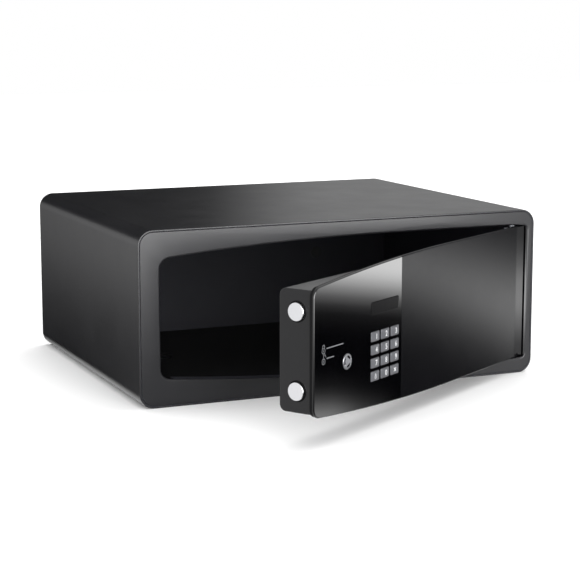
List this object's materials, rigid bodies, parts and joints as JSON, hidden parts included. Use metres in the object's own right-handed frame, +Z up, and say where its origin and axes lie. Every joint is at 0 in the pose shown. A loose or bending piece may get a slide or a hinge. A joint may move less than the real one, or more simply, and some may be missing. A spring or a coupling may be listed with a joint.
{
  "type": "hotel safe",
  "caption": "Black steel room safe, long and low, with rounded edges and a tapered side-hinged door that has a gloss keypad panel, two round bolts and a motor lock inside.",
  "frame": {"origin": "centre of the case's underside", "axes": "+Z up, +X to the right seen from the front, -Y towards the front face"},
  "size_m": [0.49, 0.623, 0.195],
  "materials": {
    "powder_coat": "satin textured powder coat",
    "door_paint": "satin black powder coat",
    "gloss_panel": "high gloss",
    "black_plastic": "fine moulded texture",
    "zinc_steel": "bright zinc plating",
    "bolt_steel": "polished",
    "key_silver": "satin metallic paint",
    "override_metal": "satin chrome",
    "rubber": "matt",
    "circuit_board": "solder resist",
    "brass": "turned",
    "cell_sleeve": "shrink sleeve",
    "cable_sleeve": "flexible PVC"
  },
  "bodies": {
    "cabinet": {"case_wrap": "powder_coat", "back_panel": "powder_coat", "front_frame": "powder_coat", "floor_mat": "rubber", "hinge_bracket_upper": "powder_coat", "hinge_bracket_lower": "powder_coat", "hinge_bush_upper": "brass", "hinge_bush_lower": "brass", "strike_plate": "zinc_steel"},
    "door": {"door_plate": "door_paint", "door_skin": "door_paint", "control_fascia": "gloss_panel", "display_lens": "gloss_panel", "display_module": "black_plastic", "door_housing": "door_paint", "hinge_block_upper": "zinc_steel", "hinge_block_lower": "zinc_steel", "hinge_pin_upper": "zinc_steel", "hinge_pin_lower": "zinc_steel", "bolt_bush_upper": "black_plastic", "bolt_bush_lower": "black_plastic", "lock_chassis": "zinc_steel", "gear_motor": "black_plastic", "control_board": "circuit_board", "keypad_board": "circuit_board", "key_mat": "rubber", "override_barrel": "brass", "battery_holder": "black_plastic", "battery_cell_1": "cell_sleeve", "battery_cell_2": "cell_sleeve", "battery_cell_3": "cell_sleeve", "battery_cell_4": "cell_sleeve", "housing_screw_1": "zinc_steel", "housing_screw_2": "zinc_steel", "housing_screw_3": "zinc_steel", "housing_screw_4": "zinc_steel", "ribbon_cable": "cable_sleeve", "motor_lead": "cable_sleeve", "battery_lead": "cable_sleeve", "battery_lid_pin": "zinc_steel"},
    "bolt_carriage": {"bolt_upper": "bolt_steel", "bolt_lower": "bolt_steel", "bolt_bar": "zinc_steel"},
    "lock_drive": {"drive_pinion": "brass", "drive_shaft": "zinc_steel"},
    "key_1_button": {"key_1": "key_silver"},
    "key_2_button": {"key_2": "key_silver"},
    "key_3_button": {"key_3": "key_silver"},
    "key_4_button": {"key_4": "key_silver"},
    "key_5_button": {"key_5": "key_silver"},
    "key_6_button": {"key_6": "key_silver"},
    "key_7_button": {"key_7": "key_silver"},
    "key_8_button": {"key_8": "key_silver"},
    "key_9_button": {"key_9": "key_silver"},
    "key_lock_button": {"key_lock": "key_silver"},
    "key_0_button": {"key_0": "key_silver"},
    "key_clear_button": {"key_clear": "key_silver"},
    "override": {"override_rotor": "override_metal", "override_cam": "zinc_steel"},
    "battery_lid_body": {"battery_lid": "black_plastic"}
  },
  "joints": [
    {"name": "door_hinge", "type": "hinge", "parent": "cabinet", "child": "door", "pos_m": [0.2215, -0.184, 0.0975], "axis": [0, 0, 1], "range_deg": [-32.3, 62.7]},
    {"name": "bolt_slide", "type": "slide", "parent": "door", "child": "bolt_carriage", "axis": [-0.8453, -0.5344, 0], "range_m": [0, 0.015]},
    {"name": "pinion_spin", "type": "hinge", "parent": "door", "child": "lock_drive", "pos_m": [-0.07392, -0.35727, 0.0915], "axis": [-0.5344, 0.8453, 0], "range_deg": [-123, 0]},
    {"name": "key_1_press", "type": "slide", "parent": "door", "child": "key_1_button", "axis": [-0.5344, 0.8453, 0], "range_m": [0, 0.0012], "stiffness_N_per_m": 400, "springref_m": -0.0005},
    {"name": "key_2_press", "type": "slide", "parent": "door", "child": "key_2_button", "axis": [-0.5344, 0.8453, 0], "range_m": [0, 0.0012], "stiffness_N_per_m": 400, "springref_m": -0.0005},
    {"name": "key_3_press", "type": "slide", "parent": "door", "child": "key_3_button", "axis": [-0.5344, 0.8453, 0], "range_m": [0, 0.0012], "stiffness_N_per_m": 400, "springref_m": -0.0005},
    {"name": "key_4_press", "type": "slide", "parent": "door", "child": "key_4_button", "axis": [-0.5344, 0.8453, 0], "range_m": [0, 0.0012], "stiffness_N_per_m": 400, "springref_m": -0.0005},
    {"name": "key_5_press", "type": "slide", "parent": "door", "child": "key_5_button", "axis": [-0.5344, 0.8453, 0], "range_m": [0, 0.0012], "stiffness_N_per_m": 400, "springref_m": -0.0005},
    {"name": "key_6_press", "type": "slide", "parent": "door", "child": "key_6_button", "axis": [-0.5344, 0.8453, 0], "range_m": [0, 0.0012], "stiffness_N_per_m": 400, "springref_m": -0.0005},
    {"name": "key_7_press", "type": "slide", "parent": "door", "child": "key_7_button", "axis": [-0.5344, 0.8453, 0], "range_m": [0, 0.0012], "stiffness_N_per_m": 400, "springref_m": -0.0005},
    {"name": "key_8_press", "type": "slide", "parent": "door", "child": "key_8_button", "axis": [-0.5344, 0.8453, 0], "range_m": [0, 0.0012], "stiffness_N_per_m": 400, "springref_m": -0.0005},
    {"name": "key_9_press", "type": "slide", "parent": "door", "child": "key_9_button", "axis": [-0.5344, 0.8453, 0], "range_m": [0, 0.0012], "stiffness_N_per_m": 400, "springref_m": -0.0005},
    {"name": "key_lock_press", "type": "slide", "parent": "door", "child": "key_lock_button", "axis": [-0.5344, 0.8453, 0], "range_m": [0, 0.0012], "stiffness_N_per_m": 400, "springref_m": -0.0005},
    {"name": "key_0_press", "type": "slide", "parent": "door", "child": "key_0_button", "axis": [-0.5344, 0.8453, 0], "range_m": [0, 0.0012], "stiffness_N_per_m": 400, "springref_m": -0.0005},
    {"name": "key_clear_press", "type": "slide", "parent": "door", "child": "key_clear_button", "axis": [-0.5344, 0.8453, 0], "range_m": [0, 0.0012], "stiffness_N_per_m": 400, "springref_m": -0.0005},
    {"name": "override_turn", "type": "hinge", "parent": "door", "child": "override", "pos_m": [-0.10209, -0.38383, 0.0803], "axis": [0.5344, -0.8453, 0], "range_deg": [-90, 0]},
    {"name": "battery_lid_hinge", "type": "hinge", "parent": "door", "child": "battery_lid_body", "pos_m": [0.09968, -0.21925, 0.0599], "axis": [-0.8453, -0.5344, 0], "range_deg": [0, 110]}
  ],
  "couplings": [
    {"joint": "pinion_spin", "follows": "bolt_slide", "rad_per_m": -142.86}
  ]
}
